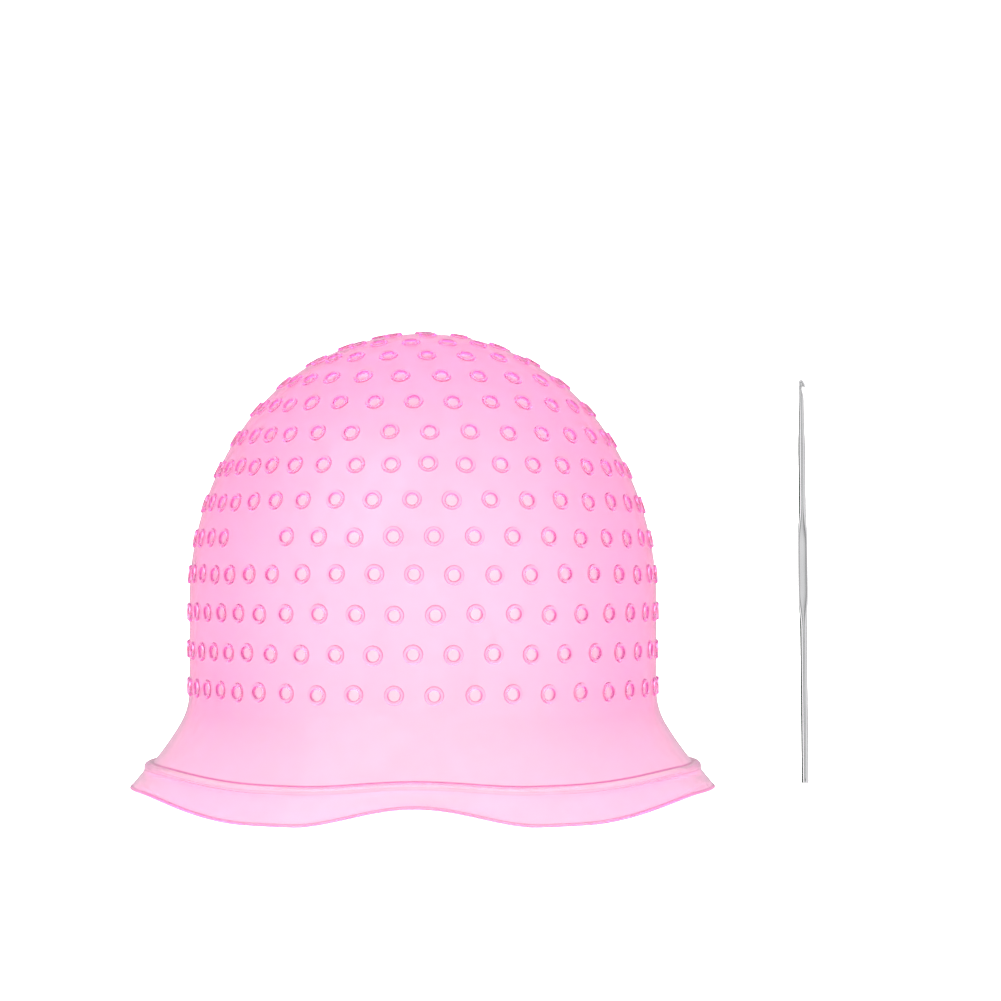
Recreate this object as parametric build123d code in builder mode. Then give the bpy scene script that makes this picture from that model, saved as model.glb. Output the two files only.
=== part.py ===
"""Highlighting cap: a moulded silicone cap with pull-through rings, and its steel hook.

Frame: the origin is on the cap's axis in the plane that its lip stands on, +Z up, and -Y is
the front, so +X is to the right of someone who looks at the front.  Millimetres.
The cap is one moulding, written as bonded zones that meet face to face: the crown, the upper
dome, its shoulder and its side wall, the flared skirt, the rolled bead and the brim band.
"""

import os
from math import asin, atan2, cos, degrees, radians, sin

from build123d import *

# ---- driving dimensions of the cap (outer surface) -----------------------------------------
wall = 1.7                # thickness of the dome and the skirt
dome_radius = 86.2        # the straight side of the dome
dome_top = 173.4          # height of the crown
crown_radius = 81.0       # arc over the crown, centred on the axis
side_top = 75.0           # the straight side ends here and the shoulder arc begins
side_bottom = 42.0        # the straight side ends here and the knee begins

knee_radius = 24.0        # short bend from the side into the flare
dome_end_turn = 10.0      # degrees of the knee that belong to the dome, the rest is the skirt's
knee_turn = 31.0          # degrees of the whole knee
flare_radius = 110.0      # long bend of the flare
flare_bottom = 15.6       # height of the skirt's lower outer edge

bead_radius = 2.2         # rolled bead under the skirt
bead_place = (100.4, 14.1)

brim_wall = 1.5
brim_start = (101.9, 13.2)    # where the brim band leaves the bead
brim_bend_radius = 10.0       # the band bends from nearly level to upright
brim_start_dip = 21.6         # degrees below level at the start of the band

front_arch = (44.0, 6.8)      # half width and height of the arch in the lip, front and back
side_arch = (91.0, 6.6)       # half width and height of the arch at each side
side_arch_flank = ((0.86, 0.35), (0.64, 0.78))    # shares of both that its flanks pass

# ---- pull-through rings: a raised collar round a thin membrane, which the hook pierces -------
# the membrane lies between a recess in the collar and a recess from inside the cap
recess_radius = 2.1
recess_floor = 0.15       # depth of the membrane's outer face under the wall's outer surface
membrane = 0.5
collar_radius = 3.35
collar_height = 0.85
left_crowding = 11.0      # degrees by which the rings at the left side sit nearer to the front
# each row: distance from the crown along the surface, number of places, angle of the first
# place from the front, in degrees
ring_rows = [
    (0.0, 1, 0.0),
    (16.0, 7, 6.0),
    (30.0, 14, -7.0),
    (42.5, 18, 3.5),
    (56.5, 23, 8.3),
    (70.0, 28, -1.8),
    (83.5, 31, 3.5),
    (96.3, 37, 2.8),
    (109.8, 37, -1.2),
    (123.0, 38, 4.2),
    (136.0, 39, -0.5),
    (149.7, 39, 4.3),
    (163.4, 39, -0.7),
    (177.0, 39, 4.1),
]
blank_places = {123.0: (32, 33)}      # two places at the left of this row have no ring

# zones of the dome: where each starts, as a distance from the crown between two rows of rings
zone_starts = {"crown": 0.0, "upper_dome": 36.2, "dome_shoulder": 76.8, "side_wall": 116.4}
zone_margin = 15.0        # more than the dome bulges between the two ends of a zone

# ---- hook ----------------------------------------------------------------------------------
hook_place = (151.5, 94.0)    # where the butt stands, beside and behind the cap
hook_lean = 0.6               # degrees towards -X at the top
hook_length = 163.0
shaft_radius = 1.5
butt_round = 0.4
thumb_rest_size = (4.1, 1.8)      # width and thickness before its faces are pressed flat
thumb_rest_thickness = 1.4
thumb_rest_heights = (62.0, 76.0, 98.0, 112.0)    # bottom taper, flat length, top taper
pressed_overrun = 4.0             # the pressed faces run this far into both tapers
neck_radius = 1.15
neck_heights = (134.0, 150.0)     # the shaft narrows between them
blade_thickness = 1.9
blade_start = 154.0
throat_heights = (156.0, 158.6)   # the throat's ramp
throat_floor = 0.4                # from the shaft's axis
barb_reach = 1.9                  # from the shaft's axis
barb_height = 160.0
head_tip = (0.23, hook_length)    # top of the rounded head, from the shaft's axis
head_shoulders = ((1.35, 161.9), (-0.75, 162.1))    # its arcs pass here, barb side and back

# ---- the dome's meridian -------------------------------------------------------------------
crown_centre_z = dome_top - crown_radius
# the shoulder arc is tangent to the crown arc and to the straight side
rise = crown_centre_z - side_top
shoulder_radius = (dome_radius**2 + rise**2 - crown_radius**2) / (2 * (dome_radius - crown_radius))
shoulder_centre_r = dome_radius - shoulder_radius
crown_angle = degrees(atan2(-shoulder_centre_r, rise))
crown_arc_length = crown_radius * radians(crown_angle)
shoulder_arc_length = shoulder_radius * radians(90 - crown_angle)
straight_end = crown_arc_length + shoulder_arc_length + side_top - side_bottom
dome_length = straight_end + knee_radius * radians(dome_end_turn)


def meridian(distance):
    """Radius, height and steepness (degrees) of the dome's surface, at a distance from the crown."""
    if distance <= crown_arc_length:
        angle = distance / crown_radius
        return crown_radius * sin(angle), crown_centre_z + crown_radius * cos(angle), degrees(angle)
    if distance <= crown_arc_length + shoulder_arc_length:
        angle = radians(crown_angle) + (distance - crown_arc_length) / shoulder_radius
        radius = shoulder_centre_r + shoulder_radius * sin(angle)
        return radius, side_top + shoulder_radius * cos(angle), degrees(angle)
    return dome_radius, side_top - (distance - crown_arc_length - shoulder_arc_length), 90.0


def ring_locations(start, end, depth):
    """Locations, facing out, of the rings in one zone of the dome, at a depth in its wall."""
    locations = []
    for distance, count, first in ring_rows:
        if not start <= distance < end:
            continue
        radius, height, steepness = meridian(distance)
        blanks = blank_places.get(distance, ())
        for number in [place for place in range(count) if place not in blanks]:
            degrees_around = (first + number * 360 / count + 180) % 360 - 180
            if degrees_around < 0:
                degrees_around += left_crowding * sin(radians(degrees_around)) ** 4
            around = radians(degrees_around)
            out = Vector(sin(around), -cos(around), 0)
            normal = out * sin(radians(steepness)) + Vector(0, 0, 1) * cos(radians(steepness))
            along = Vector(cos(around), sin(around), 0)
            surface = Plane(origin=out * radius + Vector(0, 0, height), x_dir=along, z_dir=normal)
            locations.append(surface.offset(-depth).location)
    return locations


def zone_corner(distance, lift):
    """Point on the surface's normal at a distance from the crown, outside it by a lift."""
    radius, height, steepness = meridian(distance)
    return radius + lift * sin(radians(steepness)), height + lift * cos(radians(steepness))


# ---- the dome, zone by zone ----------------------------------------------------------------
knee_centre = (dome_radius + knee_radius, side_bottom)

with BuildSketch(Plane.XZ) as dome_section:
    with BuildLine():
        knee_ends = []
        for inset in (0, wall):
            CenterArc((0, crown_centre_z), crown_radius - inset, 90, -crown_angle)
            shoulder_centre = (shoulder_centre_r, side_top)
            CenterArc(shoulder_centre, shoulder_radius - inset, 90 - crown_angle, crown_angle - 90)
            Line((dome_radius - inset, side_top), (dome_radius - inset, side_bottom))
            knee = CenterArc(knee_centre, knee_radius + inset, 180, dome_end_turn)
            knee_ends.append(knee @ 1)
        Line((0, dome_top), (0, dome_top - wall))
        Line(*knee_ends)
    make_face()

dome_zones = {}
for (name, start), end in zip(zone_starts.items(), [*list(zone_starts.values())[1:], dome_length]):
    # the zone's two ends are square to the wall, and the last one is the end of the section
    with BuildPart() as zone:
        with BuildSketch(Plane.XZ):
            add(dome_section.sketch)
            with BuildLine():
                top = [zone_corner(start, -zone_margin), zone_corner(start, zone_margin)]
                foot = [zone_corner(end, zone_margin), zone_corner(end, -zone_margin)]
                if end == dome_length:
                    foot = [(2 * dome_radius, 0), (0, 0)]
                Polyline(*top, *foot, close=True)
            make_face(mode=Mode.INTERSECT)
        revolve(axis=Axis.Z)
        from_base = (Align.CENTER, Align.CENTER, Align.MIN)
        with Locations(*ring_locations(start, end, wall / 2)):
            Cylinder(collar_radius, wall / 2 + collar_height, align=from_base)
        with Locations(*ring_locations(start, end, recess_floor)):
            Cylinder(recess_radius, 2 * collar_height, align=from_base, mode=Mode.SUBTRACT)
        from_top = (Align.CENTER, Align.CENTER, Align.MAX)
        with Locations(*ring_locations(start, end, recess_floor + membrane)):
            Cylinder(recess_radius, 2 * wall, align=from_top, mode=Mode.SUBTRACT)
    zone.part.label = name
    dome_zones[name] = zone.part

# ---- flared skirt --------------------------------------------------------------------------
flare_centre = (
    knee_centre[0] + (flare_radius - knee_radius) * cos(radians(knee_turn)),
    knee_centre[1] + (flare_radius - knee_radius) * sin(radians(knee_turn)),
)
flare_end_turn = degrees(asin((flare_centre[1] - flare_bottom) / flare_radius))
skirt_end = Vector(
    flare_centre[0] - flare_radius * cos(radians(flare_end_turn)),
    flare_bottom,
)
# unit vector along the wall at its lower end, pointing down and out
skirt_heading = Vector(sin(radians(flare_end_turn)), -cos(radians(flare_end_turn)))

with BuildPart() as flared_skirt:
    with BuildSketch(Plane.XZ):
        with BuildLine():
            sides = []
            for inset in (0, wall):
                turn = knee_turn - dome_end_turn
                knee = CenterArc(knee_centre, knee_radius + inset, 180 + dome_end_turn, turn)
                turn = flare_end_turn - knee_turn
                flare = CenterArc(flare_centre, flare_radius + inset, 180 + knee_turn, turn)
                sides.append((knee, flare))
            Line(sides[0][0] @ 0, sides[1][0] @ 0)
            Line(sides[0][1] @ 1, sides[1][1] @ 1)
        make_face()
    revolve(axis=Axis.Z)
flared_skirt.part.label = "flared_skirt"

# ---- rolled bead, cut flat where the skirt and the brim band meet it ------------------------
brim_heading = Vector(cos(radians(brim_start_dip)), -sin(radians(brim_start_dip)))
cutter_size = 4 * bead_radius

with BuildPart() as rim_bead:
    with BuildSketch(Plane.XZ):
        with Locations(bead_place):
            Circle(bead_radius)
        for face_point, heading in (
            (skirt_end, skirt_heading * -1),
            (Vector(*brim_start), brim_heading),
        ):
            with Locations(face_point + heading * (cutter_size / 2)):
                tilt = degrees(atan2(heading.Y, heading.X))
                Rectangle(cutter_size, cutter_size, rotation=tilt, mode=Mode.SUBTRACT)
    revolve(axis=Axis.Z)
rim_bead.part.label = "rim_bead"

# ---- brim band with its wavy lip -----------------------------------------------------------
bend_centre = (
    brim_start[0] - brim_bend_radius * sin(radians(brim_start_dip)),
    brim_start[1] - brim_bend_radius * cos(radians(brim_start_dip)),
)
lip_radius = bend_centre[0] + brim_bend_radius
beyond = 1.2 * lip_radius


def front_arch_outline():
    """Arch made of two foot arcs and a crest arc, for the front and the back of the lip."""
    half, height = front_arch
    arc = ((half / 2) ** 2 + (height / 2) ** 2) / height
    with BuildLine() as outline:
        for side in (-1, 1):
            RadiusArc((side * half, 0), (side * half / 2, height / 2), side * arc)
        RadiusArc((-half / 2, height / 2), (half / 2, height / 2), arc)
        Polyline((-half, 0), (-half, -height), (half, -height), (half, 0))
    return outline


with BuildPart() as brim_band:
    with BuildSketch(Plane.XZ):
        with BuildLine():
            sides = []
            for inset in (0, brim_wall):
                bend_start = 90 - brim_start_dip
                bend = CenterArc(bend_centre, brim_bend_radius - inset, bend_start, -bend_start)
                Line(bend @ 1, (lip_radius - inset, 0))
                sides.append(bend)
            Line(sides[0] @ 0, sides[1] @ 0)
            Line((lip_radius, 0), (lip_radius - brim_wall, 0))
        make_face()
    revolve(axis=Axis.Z)
    with BuildSketch(Plane.XZ):
        add(front_arch_outline().line)
        make_face()
    extrude(amount=beyond, both=True, mode=Mode.SUBTRACT)
    with BuildSketch(Plane.YZ):
        with BuildLine():
            half, height = side_arch
            rising = [(-half, 0), *((-out * half, up * height) for out, up in side_arch_flank)]
            falling = [(-across, up) for across, up in reversed(rising)]
            Spline(*rising, (0, height), *falling)
            Polyline((-half, 0), (-half, -height), (half, -height), (half, 0))
        make_face()
    extrude(amount=beyond, both=True, mode=Mode.SUBTRACT)
brim_band.part.label = "brim_band"

# ---- hook ----------------------------------------------------------------------------------
lean = radians(hook_lean)
hook_axis = Vector(-sin(lean), 0, cos(lean))
hook_across = Vector(cos(lean), 0, sin(lean))
hook_foot = Vector(*hook_place, (shaft_radius - butt_round) * sin(lean))
hook_frame = Plane(origin=hook_foot, x_dir=hook_across, z_dir=hook_axis)
blade_frame = Plane(origin=hook_foot, x_dir=hook_across, z_dir=hook_across.cross(hook_axis))
rest_width, rest_depth = thumb_rest_size
rest_bottom, flat_bottom, flat_top, rest_top = thumb_rest_heights

with BuildPart(hook_frame) as pull_hook:
    # butt and lower shaft
    Cylinder(shaft_radius, rest_bottom, align=(Align.CENTER, Align.CENTER, Align.MIN))
    fillet(pull_hook.edges().filter_by(GeomType.CIRCLE).sort_by(Axis.Z)[0], butt_round)
    # thumb rest: round to oval, oval stretch, oval to round
    for round_height, oval_height in ((rest_bottom, flat_bottom), (rest_top, flat_top)):
        with BuildSketch(hook_frame.offset(round_height)):
            Circle(shaft_radius)
        with BuildSketch(hook_frame.offset(oval_height)):
            Ellipse(rest_width / 2, rest_depth / 2)
        loft()
    with BuildSketch(hook_frame.offset(flat_bottom)):
        Ellipse(rest_width / 2, rest_depth / 2)
    extrude(amount=flat_top - flat_bottom)
    # upper shaft and its narrow neck
    with BuildSketch(hook_frame.offset(rest_top)):
        Circle(shaft_radius)
    extrude(amount=neck_heights[0] - rest_top)
    for low, high, low_radius in (
        (neck_heights[0], neck_heights[1], shaft_radius),
        (neck_heights[1], blade_start, neck_radius),
    ):
        with BuildSketch(hook_frame.offset(low)):
            Circle(low_radius)
        with BuildSketch(hook_frame.offset(high)):
            Circle(neck_radius)
        loft()
    # head with its throat and barb
    with BuildSketch(blade_frame):
        with BuildLine():
            Polyline(
                (-neck_radius, barb_height),
                (-neck_radius, blade_start),
                (neck_radius, blade_start),
                (neck_radius, throat_heights[0]),
                (throat_floor, throat_heights[1]),
                (throat_floor, barb_height + throat_floor),
                (barb_reach, barb_height),
            )
            ThreePointArc((barb_reach, barb_height), head_shoulders[0], head_tip)
            ThreePointArc(head_tip, head_shoulders[1], (-neck_radius, barb_height))
        make_face()
    extrude(amount=blade_thickness / 2, both=True)
    # the pressed faces of the thumb rest
    with BuildSketch(hook_frame.offset((flat_bottom + flat_top) / 2)):
        for side in (-1, 1):
            with Locations((0, side * (thumb_rest_thickness + rest_depth) / 2)):
                Rectangle(2 * rest_width, rest_depth)
    half_pressed = (flat_top - flat_bottom) / 2 + pressed_overrun
    extrude(amount=half_pressed, both=True, mode=Mode.SUBTRACT)
pull_hook.part.label = "pull_hook"

os.makedirs("parts", exist_ok=True)
pieces = [*dome_zones.values(), flared_skirt.part, rim_bead.part, brim_band.part, pull_hook.part]
for piece in pieces:
    export_step(piece, f"parts/{piece.label}.step")
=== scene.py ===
"""Looks of the highlighting cap: one translucent silicone moulding and its steel hook.

Lengths are millimetres in the frame of the CAD part (+Z up, -Y the front) and become metres
where a vertex or an object is made.
"""

import math

import bmesh
import bpy
import numpy as np
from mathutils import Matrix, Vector
from mathutils.geometry import delaunay_2d_cdt


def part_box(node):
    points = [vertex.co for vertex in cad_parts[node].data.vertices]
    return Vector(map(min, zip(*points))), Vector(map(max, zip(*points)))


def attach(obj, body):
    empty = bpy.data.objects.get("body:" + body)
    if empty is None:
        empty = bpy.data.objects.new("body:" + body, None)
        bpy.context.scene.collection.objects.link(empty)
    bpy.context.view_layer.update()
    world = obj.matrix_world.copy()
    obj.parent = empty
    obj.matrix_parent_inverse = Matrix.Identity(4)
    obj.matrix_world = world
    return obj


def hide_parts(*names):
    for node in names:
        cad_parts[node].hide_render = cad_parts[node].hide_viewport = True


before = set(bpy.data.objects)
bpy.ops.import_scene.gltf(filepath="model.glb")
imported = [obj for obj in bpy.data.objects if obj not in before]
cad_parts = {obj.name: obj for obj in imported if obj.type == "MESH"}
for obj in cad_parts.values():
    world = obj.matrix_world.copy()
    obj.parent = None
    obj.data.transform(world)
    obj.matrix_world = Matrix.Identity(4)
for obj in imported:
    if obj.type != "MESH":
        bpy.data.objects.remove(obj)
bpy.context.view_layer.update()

MM = 0.001


def node_box(node):
    """Lowest and highest corner of a CAD node, in millimetres."""
    low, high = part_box(node)
    return low / MM, high / MM


# ---- driving sizes -------------------------------------------------------------------------
COLLAR_HEIGHT = 0.85
DOME_TOP = node_box("crown")[1].z - COLLAR_HEIGHT
WALL = 1.7
DOME_RADIUS = 86.2
CROWN_RADIUS = 81.0
SIDE_TOP = 75.0
SIDE_BOTTOM = 42.0
KNEE_RADIUS = 24.0
KNEE_TURN = 31.0
DOME_END_TURN = 10.0
FLARE_RADIUS = 110.0
FLARE_BOTTOM = 16.0

BEAD_CENTRE = (101.0, 14.5)
BEAD_RADIUS = 1.6
BEAD_START, BEAD_END = 90.0, -12.0       # degrees around the bead's section
BEAD_CREASE_PAINTED_SHADE = 0.14                  # painted shade in the crease where the bead meets the band
BEAD_HOLLOW = (100.2, 14.5)              # centre of the shallow groove behind the bead
BEAD_HOLLOW_RADIUS = 0.7
BRIM_START = (102.4, 13.3)
BRIM_SLANT_WALL = 2.2                    # its wall measured level, across the slope
LIP_RADIUS = 107.7
CREASE_WIDTH = 0.35                      # of the painted shade line over the bead, and of each of its fades
RIM_PAINTED_SHADE = 0.12                         # painted shade: how much darker the rim's pink is made than the dome's
# the lip from its outer ridge to its inner edge: inset, rise, and painted shade, how far the pink
# is darkened there to stand for the shade along the lip's edges
FRONT_ARCH = (24.0, 6.8)                 # half width in degrees and height of the lip's front arch
# degrees where the lip's side starts to rise, over how many degrees it rises, and how high
SIDE_RISE = (31.0, 37.0, 6.6)
# how far the bead sags below its level: at the front arch's crest, more beside it, and the sum of
# the two beyond SAG_CHANGE degrees
CREST_SAG, MORE_SAG, LOW_SAG = 0.7, 2.3, 3.0
SAG_CHANGE = 28.0
LIP_SECTION = [
    (1.30, 1.75, 0.0),
    (1.05, 1.10, 0.3),
    (0.72, 1.08, 1.0),
    (0.50, 0.92, 0.7),
    (-0.03, 0.35, 0.1),
    (-0.05, 0.12, 0.9),
    (0.20, 0.0, 0.4),
    (1.80, 0.0, 0.0),
    (BRIM_SLANT_WALL, 0.3, 0.0),
]

RECESS_RADIUS = 2.1
RECESS_FLOOR = 0.15                     # depth of the membrane under the wall's outer surface
MEMBRANE = 0.5
COLLAR_RADIUS = 3.35
LEFT_CROWDING = 11.0
# distance from the crown, number of places, angle of the first place from the front
RING_ROWS = [
    (0.0, 1, 0.0),
    (16.0, 7, 6.0),
    (30.0, 14, -7.0),
    (42.5, 18, 3.5),
    (56.5, 23, 8.3),
    (70.0, 28, -1.8),
    (83.5, 31, 3.5),
    (96.3, 37, 2.8),
    (109.8, 37, -1.2),
    (123.0, 38, 4.2),
    (136.0, 39, -0.5),
    (149.7, 39, 4.3),
    (163.4, 39, -0.7),
    (177.0, 39, 4.1),
]
BLANK_PLACES = {123.0: (32, 33)}
RING_SIDES = 16
RING_SHIFT = 0.3                         # how unevenly the rings sit, at most
RING_SPREAD = 0.03                       # and how much their sizes differ
# section of a ring outside, from its foot on the wall over the collar to the membrane, and
# inside the cap, from the wall to the membrane: radius, height over the wall's outer surface,
# and painted shade, how far the pink is darkened there to stand for the shade of the ring's edges,
# from 0 as on the wall to 1
OUTER_SECTION = [
    (COLLAR_RADIUS + 0.20, 0.0, 0.0),
    (COLLAR_RADIUS + 0.08, 0.10, 1.0),
    (COLLAR_RADIUS - 0.12, 0.62, 0.5),
    (COLLAR_RADIUS - 0.30, COLLAR_HEIGHT, 0.16),
    (RECESS_RADIUS + 0.26, COLLAR_HEIGHT, 0.16),
    (RECESS_RADIUS + 0.10, 0.70, 1.0),
    (RECESS_RADIUS - 0.10, 0.05, 0.7),
    (RECESS_RADIUS - 0.22, -RECESS_FLOOR, 0.0),
]
INNER_SIDES = 12
INNER_SECTION = [
    (RECESS_RADIUS + 0.25, -WALL, 0.0),
    (RECESS_RADIUS, -WALL + 0.25, 0.0),
    (RECESS_RADIUS - 0.15, -RECESS_FLOOR - MEMBRANE, 0.0),
]
GRID_STEP = 3.4                          # spacing of the smooth wall's vertices
GRID_CLEARANCE = 1.2                     # between them and the rings' loops
RIM_SEGMENTS = 270
SHARP_CAP, SHARP_HOOK = 38.0, 50.0       # degrees over which an edge is shaded sharp


# ---- the meridian of the dome and the skirt ------------------------------------------------
CROWN_Z = DOME_TOP - CROWN_RADIUS
RISE = CROWN_Z - SIDE_TOP
SHOULDER_RADIUS = (DOME_RADIUS**2 + RISE**2 - CROWN_RADIUS**2) / 2 / (DOME_RADIUS - CROWN_RADIUS)
SHOULDER_R = DOME_RADIUS - SHOULDER_RADIUS
CROWN_ANGLE = math.atan2(-SHOULDER_R, RISE)
CROWN_ARC = CROWN_RADIUS * CROWN_ANGLE
SHOULDER_ARC = SHOULDER_RADIUS * (math.pi / 2 - CROWN_ANGLE)
SIDE_LENGTH = SIDE_TOP - SIDE_BOTTOM
SIDE_END = CROWN_ARC + SHOULDER_ARC + SIDE_LENGTH
DOME_END = SIDE_END + KNEE_RADIUS * math.radians(DOME_END_TURN)


def meridian(distance):
    """Radius, height and the normal's angle from the axis, at distances from the crown."""
    s = np.asarray(distance, float)
    crown = s / CROWN_RADIUS
    shoulder = CROWN_ANGLE + (s - CROWN_ARC) / SHOULDER_RADIUS
    knee = (s - SIDE_END) / KNEE_RADIUS
    on_crown = s <= CROWN_ARC
    on_shoulder = s <= CROWN_ARC + SHOULDER_ARC
    on_side = s <= SIDE_END
    stretches = [on_crown, on_shoulder, on_side]
    angle = np.select(stretches, [crown, shoulder, math.pi / 2], math.pi / 2 - knee)
    radius = np.select(
        stretches,
        [
            CROWN_RADIUS * np.sin(crown),
            SHOULDER_R + SHOULDER_RADIUS * np.sin(shoulder),
            DOME_RADIUS,
        ],
        DOME_RADIUS + KNEE_RADIUS * (1 - np.cos(knee)),
    )
    height = np.select(
        stretches,
        [
            CROWN_Z + CROWN_RADIUS * np.cos(crown),
            SIDE_TOP + SHOULDER_RADIUS * np.cos(shoulder),
            SIDE_BOTTOM + SIDE_END - s,
        ],
        SIDE_BOTTOM - KNEE_RADIUS * np.sin(knee),
    )
    return radius, height, angle


def dome_points(distance, around, lift):
    """Points at a distance from the crown, an angle from the front and a height off the surface."""
    radius, height, angle = meridian(distance)
    radius = radius + lift * np.sin(angle)
    height = height + lift * np.cos(angle)
    x, y = radius * np.sin(around), -radius * np.cos(around)
    return np.stack([x, y, height + 0 * around], axis=-1)


# A flat map of the dome that keeps angles: the map's radius grows so that circles stay circles.
MAP_S = np.linspace(0.5, DOME_END + 1.0, 4000)
MAP_GROWTH = 1.0 / meridian(MAP_S)[0]
MAP_STEPS = (MAP_GROWTH[1:] + MAP_GROWTH[:-1]) / 2 * np.diff(MAP_S)
MAP_LOG = np.concatenate([[0.0], np.cumsum(MAP_STEPS)])
MAP_RADIUS = MAP_S[0] * np.exp(MAP_LOG)


def map_radius(distance):
    return np.interp(distance, MAP_S, MAP_RADIUS, left=0.0)


def unmap(flat):
    """Distance from the crown and angle from the front, for points of the flat map."""
    rho = np.hypot(flat[:, 0], flat[:, 1])
    distance = np.where(rho < MAP_RADIUS[0], rho, np.interp(rho, MAP_RADIUS, MAP_S))
    return distance, np.arctan2(flat[:, 0], -flat[:, 1])


def ring_centres():
    """Distance from the crown, angle from the front and relative size of every ring."""
    uneven = np.random.default_rng(8)
    centres = []
    for distance, count, first in RING_ROWS:
        blanks = BLANK_PLACES.get(distance, ())
        for number in [place for place in range(count) if place not in blanks]:
            degrees = (first + number * 360 / count + 180) % 360 - 180
            if degrees < 0:
                degrees += LEFT_CROWDING * math.sin(math.radians(degrees)) ** 4
            down, across, size = uneven.uniform(-1, 1, 3)
            shift = RING_SHIFT * across / max(float(meridian(distance)[0]), 5.0)
            lower = RING_SHIFT * down if distance > 0 else 0.0
            around = math.radians(degrees) + shift
            centres.append((distance + lower, around, 1 + RING_SPREAD * size))
    return np.array(centres)


def ring_loop(distance, around, size, radius, sides):
    """Points of the flat map on a circle round a ring's centre."""
    turn = np.arange(sides) * 2 * math.pi / sides
    if distance == 0:
        scale, centre = 1.0, np.zeros(2)
    else:
        scale = float(map_radius(distance) / meridian(distance)[0])
        centre = float(map_radius(distance)) * np.array([math.sin(around), -math.cos(around)])
    down = np.array([math.sin(around), -math.cos(around)])
    across = np.array([math.cos(around), math.sin(around)])
    circle = np.outer(np.cos(turn), down) + np.outer(np.sin(turn), across)
    return centre + scale * size * radius * circle


def wall_grid(centres, clearance):
    """Points of the flat map spread evenly over the wall, clear of the rings by a distance."""
    flat = []
    rings = dome_points(centres[:, 0], centres[:, 1], 0.0)
    rows = int(DOME_END / GRID_STEP)
    for row in range(1, rows):
        distance = row * DOME_END / rows
        count = max(6, round(2 * math.pi * float(meridian(distance)[0]) / GRID_STEP))
        around = (np.arange(count) + 0.5 * (row % 2)) * 2 * math.pi / count
        points = dome_points(np.full(count, distance), around, 0.0)
        to_rings = points[:, None, :] - rings[None, :, :]
        gaps = np.linalg.norm(to_rings, axis=2).min(axis=1)
        keep = around[gaps > clearance]
        rho = float(map_radius(distance))
        flat.extend(zip(rho * np.sin(keep), -rho * np.cos(keep)))
    return np.array(flat)


def dome_sheet(centres, radius, sides):
    """Triangles between the rings' loops and the dome's lower edge: flat points and faces.

    The first points are the loops, ring by ring, then comes the lower edge, then the grid.
    """
    loops = [ring_loop(*centre, radius, sides) for centre in centres]
    edge_turn = np.arange(RIM_SEGMENTS) * 2 * math.pi / RIM_SEGMENTS
    edge_radius = float(map_radius(DOME_END))
    edge = edge_radius * np.stack([np.sin(edge_turn), -np.cos(edge_turn)], axis=1)
    flat = np.concatenate(loops + [edge, wall_grid(centres, radius + GRID_CLEARANCE)])
    on_loops = len(centres) * sides
    closed = [(number * sides, sides) for number in range(len(centres))]
    closed.append((on_loops, RIM_SEGMENTS))
    edges = [(start + k, start + (k + 1) % size) for start, size in closed for k in range(size)]
    made = delaunay_2d_cdt([Vector(p) for p in flat.tolist()], edges, [], 0, 1e-6)
    points, faces, origins = made[0], made[2], made[3]
    if len(points) != len(flat):
        raise RuntimeError("the wall's triangles added or merged points")
    to_input = [o[0] for o in origins]
    kept = []
    for face in faces:
        ids = [to_input[v] for v in face]
        owners = {i // sides if i < on_loops else -1 - i for i in ids}
        if len(owners) > 1:
            kept.append(ids)
    return flat, kept


# ---- the rim: skirt, bead, brim band and lip -----------------------------------------------
def arc(centre, radius, start, end, count):
    """Points on an arc, angles in degrees, both ends included."""
    turns = np.radians(np.linspace(start, end, count))
    return [(centre[0] + radius * math.cos(t), centre[1] + radius * math.sin(t)) for t in turns]


def degrees_from_middle(around):
    """Angle from the front or the back, whichever is nearer, in degrees."""
    turn = np.degrees(np.abs(np.arctan2(np.sin(around), np.cos(around))))
    return np.minimum(turn, 180 - turn)


def lip_height(around):
    """Height of the wavy lip: an arch at the front and back, four low stretches, level sides."""
    turn = degrees_from_middle(around)
    half, height = FRONT_ARCH
    start, width, rise = SIDE_RISE
    front = height * np.cos(np.radians(np.clip(turn / half, 0, 1) * 90)) ** 2
    side = rise * np.sin(np.radians(np.clip((turn - start) / width, 0, 1) * 90)) ** 2
    return front + side


def bead_drop(around):
    """How far the bead sags below its level, following the lip's wave."""
    low = 1 - lip_height(around) / FRONT_ARCH[1]
    near_middle = degrees_from_middle(around) < SAG_CHANGE
    return np.where(near_middle, CREST_SAG + MORE_SAG * low, LOW_SAG * low)


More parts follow.
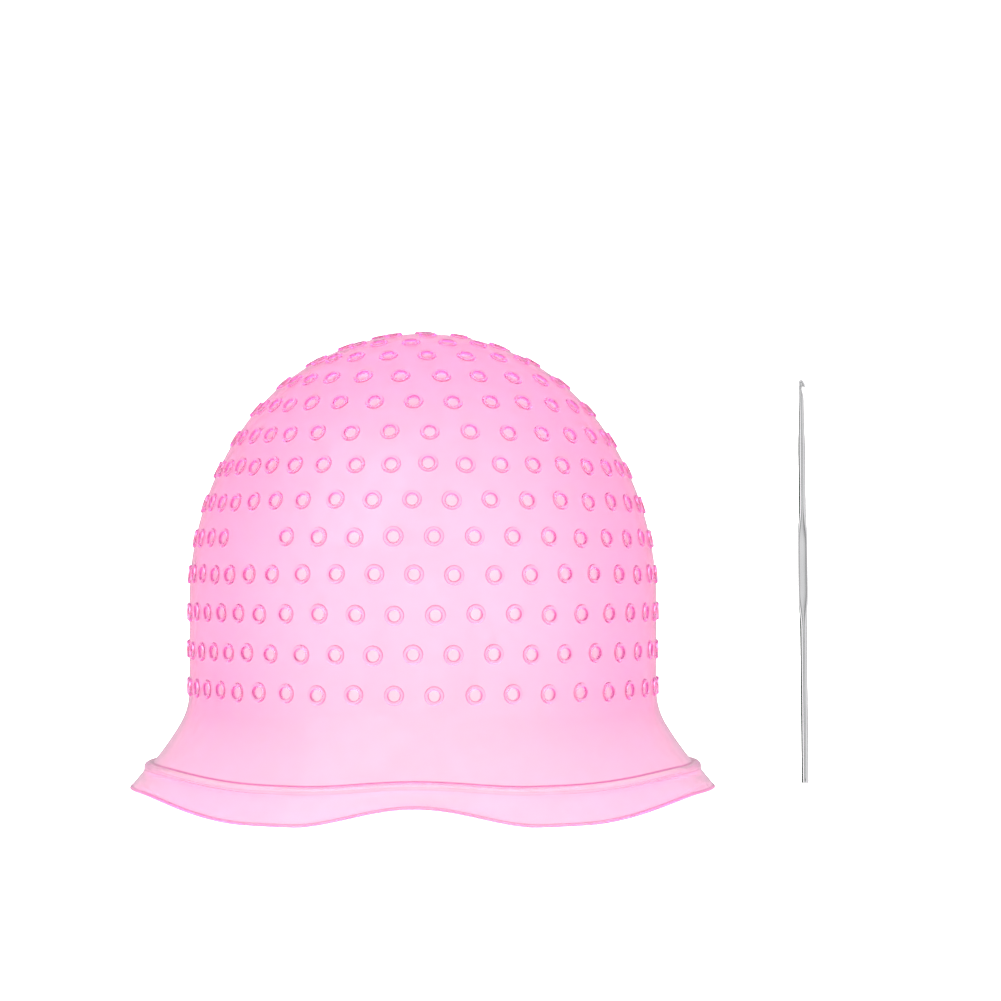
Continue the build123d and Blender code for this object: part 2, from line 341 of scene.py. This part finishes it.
def rim_section():
    """The rim's outline from the dome's outer edge, round the lip, to its inner edge.

    Each point is (radius, height, sag, stretch, rise, depth): sag is the share of the bead's
    drop that it takes, stretch its share of the way from the bead down to the lip, or None
    above the band, rise a height added after the stretch, and depth the painted shade, how much
    darker the pink is made there to stand for shade.
    """
    knee_centre = (DOME_RADIUS + KNEE_RADIUS, SIDE_BOTTOM)
    turn = math.radians(KNEE_TURN)
    flare_centre = (
        knee_centre[0] + (FLARE_RADIUS - KNEE_RADIUS) * math.cos(turn),
        knee_centre[1] + (FLARE_RADIUS - KNEE_RADIUS) * math.sin(turn),
    )
    flare_turn = math.degrees(math.asin((flare_centre[1] - FLARE_BOTTOM) / FLARE_RADIUS))

    def skirt(inset):
        knee = arc(knee_centre, KNEE_RADIUS + inset, 180 + DOME_END_TURN, 180 + KNEE_TURN, 7)
        flare = arc(flare_centre, FLARE_RADIUS + inset, 180 + KNEE_TURN, 180 + flare_turn, 8)
        return knee + flare[1:]

    section = []

    def add_skirt(points, depth):
        for number, (radius, height) in enumerate(points):
            share = min(max((SIDE_BOTTOM - height) / (SIDE_BOTTOM - FLARE_BOTTOM), 0.0), 1.0)
            # painted shade: the pink darkens down the skirt, and its last two points take the value
            # passed in, the crease's dark line outside
            tone = depth if number >= len(points) - 2 else RIM_PAINTED_SHADE * share
            section.append((radius, height, share**2, None, 0.0, tone))

    def add_band(inset, shares):
        for share in shares:
            radius = BRIM_START[0] + (LIP_RADIUS - BRIM_START[0]) * share - inset
            section.append((radius, BRIM_START[1], 1.0, share, 0.0, RIM_PAINTED_SHADE))

    outer = skirt(0.0)
    for width in (2 * CREASE_WIDTH, CREASE_WIDTH):
        outer.insert(-1, between(outer[-1], outer[-2], width))
    add_skirt(outer, 1.0)
    bead = arc(BEAD_CENTRE, BEAD_RADIUS, BEAD_START, BEAD_END, 11)
    bead.insert(0, between(outer[-1], bead[0], CREASE_WIDTH))
    bead.insert(-1, between(bead[-1], bead[-2], CREASE_WIDTH))
    # painted shade: a dark line in the crease at the bead's top, a fainter one at its foot
    for number, (radius, height) in enumerate(bead):
        depth = {0: 1.0, len(bead) - 1: BEAD_CREASE_PAINTED_SHADE}.get(number, RIM_PAINTED_SHADE)
        section.append((radius, height, 1.0, None, 0.0, depth))
    add_band(0.0, (0.06, 0.25, 0.5))
    for inset, rise, depth in LIP_SECTION:
        section.append((LIP_RADIUS - inset, 0.0, 1.0, 1.0, rise, max(depth, RIM_PAINTED_SHADE)))
    add_band(BRIM_SLANT_WALL, (0.5, 0.25, 0.0))
    for radius, height in arc(BEAD_HOLLOW, BEAD_HOLLOW_RADIUS, BEAD_END, BEAD_START, 6):
        section.append((radius, height, 1.0, None, 0.0, RIM_PAINTED_SHADE))
    add_skirt(list(reversed(skirt(WALL))), 0.0)
    return section


def between(first, second, distance):
    """The point a short distance from the first point towards the second."""
    share = distance / math.dist(first, second)
    return tuple(a + (b - a) * share for a, b in zip(first, second))


def rim_rows():
    """One row of points round the cap for each point of the rim's section."""
    around = np.arange(RIM_SEGMENTS) * 2 * math.pi / RIM_SEGMENTS
    lip, drop = lip_height(around), bead_drop(around)
    rows, painted_shades = [], []
    for radius, height, sag, stretch, rise, depth in rim_section():
        level = height - sag * drop
        if stretch is not None:
            band_top = BRIM_START[1] - drop
            level = band_top + (lip - band_top) * stretch + rise
        rows.append(np.stack([radius * np.sin(around), -radius * np.cos(around), level], axis=1))
        painted_shades.append(depth)
    return rows, painted_shades


# ---- one closed silicone mesh --------------------------------------------------------------
def build_cap():
    """The whole cap as one closed mesh: the outer wall, the inner wall and the rim between."""
    centres = ring_centres()
    vertices, faces, inside, painted_shade = [], [], [], []

    def add_points(points, is_inside=0.0, depth=0.0):
        vertices.append(points)
        inside.extend([is_inside] * len(points))
        painted_shade.extend([depth] * len(points))
        return len(inside) - len(points)

    def add_wall(section, sides, is_inside):
        """One side of the dome's wall with its rings, and the index of its lower edge."""
        foot, lift, _ = section[0]
        flat, sheet_faces = dome_sheet(centres, foot, sides)
        distance, around = unmap(flat)
        start = add_points(dome_points(distance, around, lift), is_inside)
        faces.extend([start + i for i in face] for face in sheet_faces)
        for number, centre in enumerate(centres):
            ring = [start + number * sides + k for k in range(sides)]
            for radius, lift, depth in section[1:]:
                distance, around = unmap(ring_loop(*centre, radius, sides))
                following = add_points(dome_points(distance, around, lift), is_inside, depth)
                following = [following + k for k in range(sides)]
                join(faces, ring, following)
                ring = following
            middle = add_points(dome_points(centre[:1], centre[1:2], lift), is_inside, depth)
            faces.extend([ring[k], ring[(k + 1) % sides], middle] for k in range(sides))
        return start + len(centres) * sides

    outer_start = add_wall(OUTER_SECTION, RING_SIDES, 0.0)
    inner_start = add_wall(INNER_SECTION, INNER_SIDES, 1.0)
    outer_edge = [outer_start + k for k in range(RIM_SEGMENTS)]
    inner_edge = [inner_start + k for k in range(RIM_SEGMENTS)]
    ring = outer_edge
    rows, painted_shades = rim_rows()
    # the rows after the lowest one lie inside the cap
    tip = min(range(len(rows)), key=lambda number: float(rows[number][0][2]))
    for number in range(1, len(rows) - 1):
        start = add_points(rows[number], float(number > tip), painted_shades[number])
        below = [start + k for k in range(RIM_SEGMENTS)]
        join(faces, below, ring)
        ring = below
    join(faces, inner_edge, ring)

    mesh = bpy.data.meshes.new("silicone_cap")
    mesh.from_pydata((np.concatenate(vertices) * MM).tolist(), [], faces)
    turn_faces_outwards(mesh)
    mesh.attributes.new("inside", "FLOAT", "POINT").data.foreach_set("value", inside)
    # painted shade per vertex, which the material turns into darker pink
    mesh.attributes.new("painted_shade", "FLOAT", "POINT").data.foreach_set("value", painted_shade)
    mesh.shade_smooth()
    mesh.set_sharp_from_angle(angle=math.radians(SHARP_CAP))
    cap = bpy.data.objects.new("silicone_cap", mesh)
    bpy.context.scene.collection.objects.link(cap)
    return cap


def turn_faces_outwards(mesh):
    shell = bmesh.new()
    shell.from_mesh(mesh)
    bmesh.ops.recalc_face_normals(shell, faces=shell.faces)
    shell.to_mesh(mesh)
    shell.free()


def join(faces, first, second):
    """Quads between two closed rings of equal length."""
    size = len(first)
    for k in range(size):
        following = (k + 1) % size
        faces.append([first[k], second[k], second[following], first[following]])


# ---- the hook ------------------------------------------------------------------------------
HOOK_LEAN = math.radians(0.6)            # towards -X at the top
HOOK_RADIUS = 1.5
HOOK_SIDES = 28
HOOK_RING_STEP = 2.0
# height, left and right side, half depth, squareness of the section (2 is an ellipse)
HOOK_STATIONS = [
    (0.0, -1.12, 1.12, 1.12, 2.0),
    (0.12, -1.38, 1.38, 1.38, 2.0),
    (0.4, -1.5, 1.5, 1.5, 2.0),
    (62.0, -1.5, 1.5, 1.5, 2.0),
    (77.0, -2.05, 2.05, 0.7, 3.6),
    (97.0, -2.05, 2.05, 0.7, 3.6),
    (112.0, -1.5, 1.5, 1.5, 2.0),
    (134.0, -1.5, 1.5, 1.5, 2.0),
    (150.0, -1.15, 1.15, 1.15, 2.0),
    (154.0, -1.15, 1.15, 1.0, 2.2),
    (156.0, -1.15, 1.12, 0.95, 2.4),
    (157.2, -1.12, 0.86, 0.95, 2.6),
    (158.4, -1.08, 0.46, 0.92, 2.6),
    (159.3, -1.05, 0.40, 0.90, 2.6),
    (160.0, -1.02, 0.52, 0.88, 2.6),
    (160.05, -1.02, 1.72, 0.70, 2.4),
    (160.4, -1.02, 1.86, 0.76, 2.4),
    (161.1, -1.0, 1.58, 0.80, 2.4),
    (161.9, -0.94, 1.14, 0.78, 2.4),
    (162.5, -0.74, 0.78, 0.64, 2.2),
    (162.85, -0.48, 0.48, 0.42, 2.0),
    (163.0, -0.18, 0.18, 0.16, 2.0),
]
BARB_HEIGHTS = (160.02, 161.3)           # the barb's point droops between these
BARB_DROOP = 0.55
BARB_REACH = 1.86                        # of the barb's point from the shaft's axis


def hook_rings():
    """The stations with eased rings between them."""
    rings = [HOOK_STATIONS[0]]
    for below, above in zip(HOOK_STATIONS, HOOK_STATIONS[1:]):
        steps = math.ceil((above[0] - below[0]) / HOOK_RING_STEP)
        for step in range(1, steps + 1):
            share = step / steps
            eased = share * share * (3 - 2 * share)
            height = below[0] + (above[0] - below[0]) * share
            section = [a + (b - a) * eased for a, b in zip(below[1:], above[1:])]
            rings.append((height, *section))
    return rings


def build_hook():
    """The hook as one closed loft of its sections."""
    low, high = node_box("pull_hook")
    foot = Vector((high.x - HOOK_RADIUS, (low.y + high.y) / 2, low.z))
    upward = Vector((-math.sin(HOOK_LEAN), 0, math.cos(HOOK_LEAN)))
    across = Vector((math.cos(HOOK_LEAN), 0, math.sin(HOOK_LEAN)))
    vertices, faces = [], []
    rings = hook_rings()
    for height, left, right, depth, squareness in rings:
        for side in range(HOOK_SIDES):
            turn = 2 * math.pi * side / HOOK_SIDES
            x = math.copysign(abs(math.cos(turn)) ** (2 / squareness), math.cos(turn))
            y = math.copysign(abs(math.sin(turn)) ** (2 / squareness), math.sin(turn))
            offset = (left + right) / 2 + x * (right - left) / 2
            level = height
            if BARB_HEIGHTS[0] < height < BARB_HEIGHTS[1]:
                fade = (BARB_HEIGHTS[1] - height) / (BARB_HEIGHTS[1] - BARB_HEIGHTS[0])
                level -= BARB_DROOP * fade * max(0.0, offset / BARB_REACH) ** 2
            vertices.append(foot + across * offset + upward * level + Vector((0, y * depth, 0)))
    for number in range(len(rings) - 1):
        first = [number * HOOK_SIDES + k for k in range(HOOK_SIDES)]
        join(faces, first, [index + HOOK_SIDES for index in first])
    faces.append(list(range(HOOK_SIDES)))
    faces.append(list(range(len(vertices) - HOOK_SIDES, len(vertices))))
    mesh = bpy.data.meshes.new("steel_hook")
    mesh.from_pydata([tuple(vertex * MM) for vertex in vertices], [], faces)
    turn_faces_outwards(mesh)
    mesh.shade_smooth()
    mesh.set_sharp_from_angle(angle=math.radians(SHARP_HOOK))
    hook = bpy.data.objects.new("steel_hook", mesh)
    bpy.context.scene.collection.objects.link(hook)
    return hook


# ---- materials -----------------------------------------------------------------------------
PINK = (1.0, 0.815, 0.785, 1.0)          # of the wall's faces
PAINTED_SHADE_PINK = (0.46, 0.09, 0.25, 1.0)      # painted shade: darker pink along the rings' edges, the crease and the lip
TINT = (1.0, 0.03, 0.95, 1.0)            # what the silicone lets through
TINT_DENSITY = 112.0
POLISHED = (0.10, 0.16)                  # roughness range of the outer face
MATT = (0.68, 0.80)                      # roughness range of the inner face
STEEL_ROUGHNESS = (0.08, 0.15)
STEEL_TONES = ((0.56, 0.56, 0.57, 1.0), (0.68, 0.68, 0.69, 1.0))
FLOOR_GLOW = 0.5


def new_material(name):
    material = bpy.data.materials.new(name)
    material.use_nodes = True
    return material, material.node_tree.nodes, material.node_tree.links


def silicone_material():
    """Clear pink silicone: polished outside, matt inside, tinted through its thickness."""
    material, nodes, links = new_material("pink_silicone")
    shader = nodes["Principled BSDF"]
    shader.inputs["IOR"].default_value = 1.41
    shader.inputs["Transmission Weight"].default_value = 1.0
    inside, painted_shade = nodes.new("ShaderNodeAttribute"), nodes.new("ShaderNodeAttribute")
    inside.attribute_name, painted_shade.attribute_name = "inside", "painted_shade"
    # painted shade: the base colour turns to the darker pink where the vertex attribute says, along
    # the rings' edges, the creases, the lip and the rim
    colour = nodes.new("ShaderNodeMix")
    colour.data_type = "RGBA"
    colour.inputs[6].default_value, colour.inputs[7].default_value = PINK, PAINTED_SHADE_PINK
    links.new(painted_shade.outputs["Fac"], colour.inputs["Factor"])
    links.new(colour.outputs[2], shader.inputs["Base Color"])
    grain = nodes.new("ShaderNodeTexNoise")
    grain.inputs["Scale"].default_value = 35.0
    grain.inputs["Detail"].default_value = 3.0
    polish = map_range(nodes, links, grain.outputs["Fac"], (0.35, 0.65), POLISHED)
    matt = map_range(nodes, links, grain.outputs["Fac"], (0.35, 0.65), MATT)
    roughness = nodes.new("ShaderNodeMix")
    links.new(inside.outputs["Fac"], roughness.inputs["Factor"])
    links.new(polish, roughness.inputs[2])
    links.new(matt, roughness.inputs[3])
    links.new(roughness.outputs[0], shader.inputs["Roughness"])
    volume = nodes.new("ShaderNodeVolumeAbsorption")
    volume.inputs["Color"].default_value = TINT
    volume.inputs["Density"].default_value = TINT_DENSITY
    links.new(volume.outputs["Volume"], nodes["Material Output"].inputs["Volume"])
    return material


def map_range(nodes, links, value, source, target):
    """A value mapped from one range to another, both as (low, high)."""
    node = nodes.new("ShaderNodeMapRange")
    node.inputs["From Min"].default_value, node.inputs["From Max"].default_value = source
    node.inputs["To Min"].default_value, node.inputs["To Max"].default_value = target
    links.new(value, node.inputs["Value"])
    return node.outputs["Result"]


def steel_material():
    """Nickel-plated wire: drawn lines run along it, which a stretched fine noise gives."""
    material, nodes, links = new_material("brushed_steel")
    shader = nodes["Principled BSDF"]
    shader.inputs["Metallic"].default_value = 1.0
    shader.inputs["Specular Tint"].default_value = (0.35, 0.35, 0.37, 1.0)
    place = nodes.new("ShaderNodeTexCoord")
    stretch = nodes.new("ShaderNodeMapping")
    stretch.inputs["Scale"].default_value = (1.0, 1.0, 0.03)
    links.new(place.outputs["Object"], stretch.inputs["Vector"])
    lines = nodes.new("ShaderNodeTexNoise")
    lines.inputs["Scale"].default_value = 2600.0
    lines.inputs["Detail"].default_value = 2.0
    links.new(stretch.outputs["Vector"], lines.inputs["Vector"])
    wear = nodes.new("ShaderNodeTexNoise")
    wear.inputs["Scale"].default_value = 60.0
    links.new(place.outputs["Object"], wear.inputs["Vector"])
    tone = nodes.new("ShaderNodeMix")
    tone.data_type = "RGBA"
    tone.inputs[6].default_value, tone.inputs[7].default_value = STEEL_TONES
    links.new(wear.outputs["Fac"], tone.inputs["Factor"])
    links.new(tone.outputs[2], shader.inputs["Base Color"])
    polish = map_range(nodes, links, lines.outputs["Fac"], (0.3, 0.7), STEEL_ROUGHNESS)
    links.new(polish, shader.inputs["Roughness"])
    bump = nodes.new("ShaderNodeBump")
    bump.inputs["Strength"].default_value = 0.05
    bump.inputs["Distance"].default_value = 0.00005
    links.new(lines.outputs["Fac"], bump.inputs["Height"])
    links.new(bump.outputs["Normal"], shader.inputs["Normal"])
    return material


def floor_material():
    material, nodes, _ = new_material("pale_floor")
    shader = nodes["Principled BSDF"]
    shader.inputs["Base Color"].default_value = (0.93, 0.93, 0.93, 1.0)
    shader.inputs["Roughness"].default_value = 0.9
    shader.inputs["Emission Color"].default_value = (1.0, 1.0, 1.0, 1.0)
    shader.inputs["Emission Strength"].default_value = FLOOR_GLOW
    return material


# ---- camera, floor and light ---------------------------------------------------------------
CAMERA_DISTANCE = 1034.0
CAMERA_PLACE = (28.5, 88.0)        # to the right of the cap's axis, and height
CAMERA_LENS = 100.5
CAMERA_SHIFT = 0.0644
WORLD_STRENGTH = 1.62
# share of the way from straight down (0) to straight up (1), and the brightness there
SKY = [(0.0, 0.62), (0.34, 0.62), (0.44, 0.97), (0.55, 1.1), (0.68, 1.95), (0.82, 2.7), (1.0, 3.1)]
# share of the way from the back (0) to the front (1) along Y, and the brightness seen there
STUDIO_PANELS = [
    (0.0, 0.5), (0.08, 0.65), (0.22, 1.0), (0.93, 1.15),
    (0.955, 0.45), (0.985, 0.45), (0.995, 1.05),
]


def make_camera():
    data = bpy.data.cameras.new("camera")
    data.sensor_width = 36.0
    data.lens = CAMERA_LENS
    data.shift_y = CAMERA_SHIFT
    camera = bpy.data.objects.new("camera", data)
    camera.location = (CAMERA_PLACE[0] * MM, -CAMERA_DISTANCE * MM, CAMERA_PLACE[1] * MM)
    camera.rotation_euler = (math.radians(90), 0, 0)
    bpy.context.scene.collection.objects.link(camera)
    bpy.context.scene.camera = camera


# metres: half width, front edge, back wall, height of the wall, radius of the bend into it
FLOOR_SIZE = (3.0, -3.0, 1.6, 2.5, 0.6)
FLOOR_BEND_STEPS = 12


def make_floor():
    """A floor that bends up into a wall behind the object."""
    mesh = bpy.data.meshes.new("floor")
    half, front, back, lift, bend = FLOOR_SIZE
    profile = [(front, 0.0), (back - bend, 0.0)]
    for step in range(1, FLOOR_BEND_STEPS + 1):
        turn = math.radians(90 * step / FLOOR_BEND_STEPS)
        profile.append((back - bend + bend * math.sin(turn), bend - bend * math.cos(turn)))
    profile.append((back, lift))
    points = [(x, y, z) for y, z in profile for x in (-half, half)]
    quads = [(2 * i, 2 * i + 1, 2 * i + 3, 2 * i + 2) for i in range(len(profile) - 1)]
    mesh.from_pydata(points, [], quads)
    mesh.shade_smooth()
    floor = bpy.data.objects.new("floor", mesh)
    floor.data.materials.append(floor_material())
    bpy.context.scene.collection.objects.link(floor)
    floor.visible_glossy = floor.visible_transmission = False


def area_light(name, place, target, size, power):
    data = bpy.data.lights.new(name, "AREA")
    data.size = size
    data.energy = power
    light = bpy.data.objects.new(name, data)
    light.location = place
    light.rotation_euler = (Vector(target) - Vector(place)).to_track_quat("-Z", "Y").to_euler()
    bpy.context.scene.collection.objects.link(light)


def grey_ramp(nodes, links, value, levels):
    """Greys read off a list of (place, level)."""
    node = nodes.new("ShaderNodeValToRGB")
    ramp = node.color_ramp
    while len(ramp.elements) < len(levels):
        ramp.elements.new(0.5)
    for element, (place, level) in zip(ramp.elements, levels):
        element.position = place
        element.color = (level, level, level, 1.0)
    links.new(value, node.inputs["Fac"])
    return node.outputs["Color"]


def make_light():
    """White all round, dimmer below, and for mirror-like reflections a studio of panels."""
    world = bpy.data.worlds.new("studio")
    world.use_nodes = True
    nodes, links = world.node_tree.nodes, world.node_tree.links
    white = nodes["Background"]
    white.inputs["Strength"].default_value = WORLD_STRENGTH
    studio = nodes.new("ShaderNodeBackground")
    direction = nodes.new("ShaderNodeTexCoord")
    axes = nodes.new("ShaderNodeSeparateXYZ")
    links.new(direction.outputs["Generated"], axes.inputs["Vector"])
    height = map_range(nodes, links, axes.outputs["Z"], (-1.0, 1.0), (0.0, 1.0))
    links.new(grey_ramp(nodes, links, height, SKY), white.inputs["Color"])
    depth = map_range(nodes, links, axes.outputs["Y"], (1.0, -1.0), (0.0, 1.0))
    links.new(grey_ramp(nodes, links, depth, STUDIO_PANELS), studio.inputs["Color"])
    studio.inputs["Strength"].default_value = 1.0
    path = nodes.new("ShaderNodeLightPath")
    reflected = nodes.new("ShaderNodeMath")
    reflected.operation = "SUBTRACT"
    reflected.use_clamp = True
    links.new(path.outputs["Is Glossy Ray"], reflected.inputs[0])
    links.new(path.outputs["Is Transmission Ray"], reflected.inputs[1])
    either = nodes.new("ShaderNodeMixShader")
    links.new(reflected.outputs["Value"], either.inputs["Fac"])
    links.new(white.outputs["Background"], either.inputs[1])
    links.new(studio.outputs["Background"], either.inputs[2])
    links.new(either.outputs["Shader"], nodes["World Output"].inputs["Surface"])
    bpy.context.scene.world = world
    area_light("key", (-0.9, -1.2, 1.3), (0, 0, 0.08), 1.4, 6.0)


CARD_GAP = 16.0                          # from the hook's axis to the cards beside it
CARD_HEIGHTS = (-20.0, 390.0)             # of their edges: the lifted hook stays between them
CARD_REACH = 0.05                        # metres from which a card can be seen
# side of the hook (-1 is left), from and to along Y, brightness
CARDS = [
    (-1, -5.0, 45.0, 0.14), (-1, -20.0, -5.0, 1.6), (-1, -36.0, -20.0, 0.6), (1, 5.0, 45.0, 0.14),
]


def make_cards():
    """Narrow cards beside the hook, seen only in its reflections: from its side and near by."""
    low, high = node_box("pull_hook")
    middle = Vector((high.x - HOOK_RADIUS, (low.y + high.y) / 2))
    for number, (side, start, end, level) in enumerate(CARDS):
        x = middle.x + side * CARD_GAP
        low_edge, high_edge = CARD_HEIGHTS
        corner_points = ((start, low_edge), (end, low_edge), (end, high_edge), (start, high_edge))
        points = [tuple(Vector((x, middle.y + y, z)) * MM) for y, z in corner_points]
        mesh = bpy.data.meshes.new("card")
        mesh.from_pydata(points if side < 0 else points[::-1], [], [(0, 1, 2, 3)])
        material, nodes, links = new_material("card")
        nodes.remove(nodes["Principled BSDF"])
        front, back = nodes.new("ShaderNodeEmission"), nodes.new("ShaderNodeBsdfTransparent")
        front.inputs["Strength"].default_value = level
        facing, either = nodes.new("ShaderNodeNewGeometry"), nodes.new("ShaderNodeMixShader")
        path = nodes.new("ShaderNodeLightPath")
        far, hidden = nodes.new("ShaderNodeMath"), nodes.new("ShaderNodeMath")
        far.operation, hidden.operation = "GREATER_THAN", "MAXIMUM"
        far.inputs[1].default_value = CARD_REACH
        links.new(path.outputs["Ray Length"], far.inputs[0])
        links.new(far.outputs["Value"], hidden.inputs[0])
        links.new(facing.outputs["Backfacing"], hidden.inputs[1])
        links.new(hidden.outputs["Value"], either.inputs["Fac"])
        links.new(front.outputs["Emission"], either.inputs[1])
        links.new(back.outputs["BSDF"], either.inputs[2])
        links.new(either.outputs["Shader"], nodes["Material Output"].inputs["Surface"])
        mesh.materials.append(material)
        card = bpy.data.objects.new(f"card_{number}", mesh)
        card.visible_camera = card.visible_diffuse = card.visible_transmission = False
        card.visible_shadow = card.visible_volume_scatter = False
        bpy.context.scene.collection.objects.link(card)


scene = bpy.context.scene
scene.view_settings.view_transform = "Standard"
scene.cycles.max_bounces = 24
scene.cycles.transmission_bounces = 24
scene.cycles.glossy_bounces = 12
make_camera()
make_floor()
make_light()
make_cards()

cap = build_cap()
cap.data.materials.append(silicone_material())
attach(cap, "cap")
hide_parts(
    "crown", "upper_dome", "dome_shoulder", "side_wall", "flared_skirt", "rim_bead", "brim_band",
)

hook = build_hook()
hook.data.materials.append(steel_material())
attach(hook, "hook")
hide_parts("pull_hook")
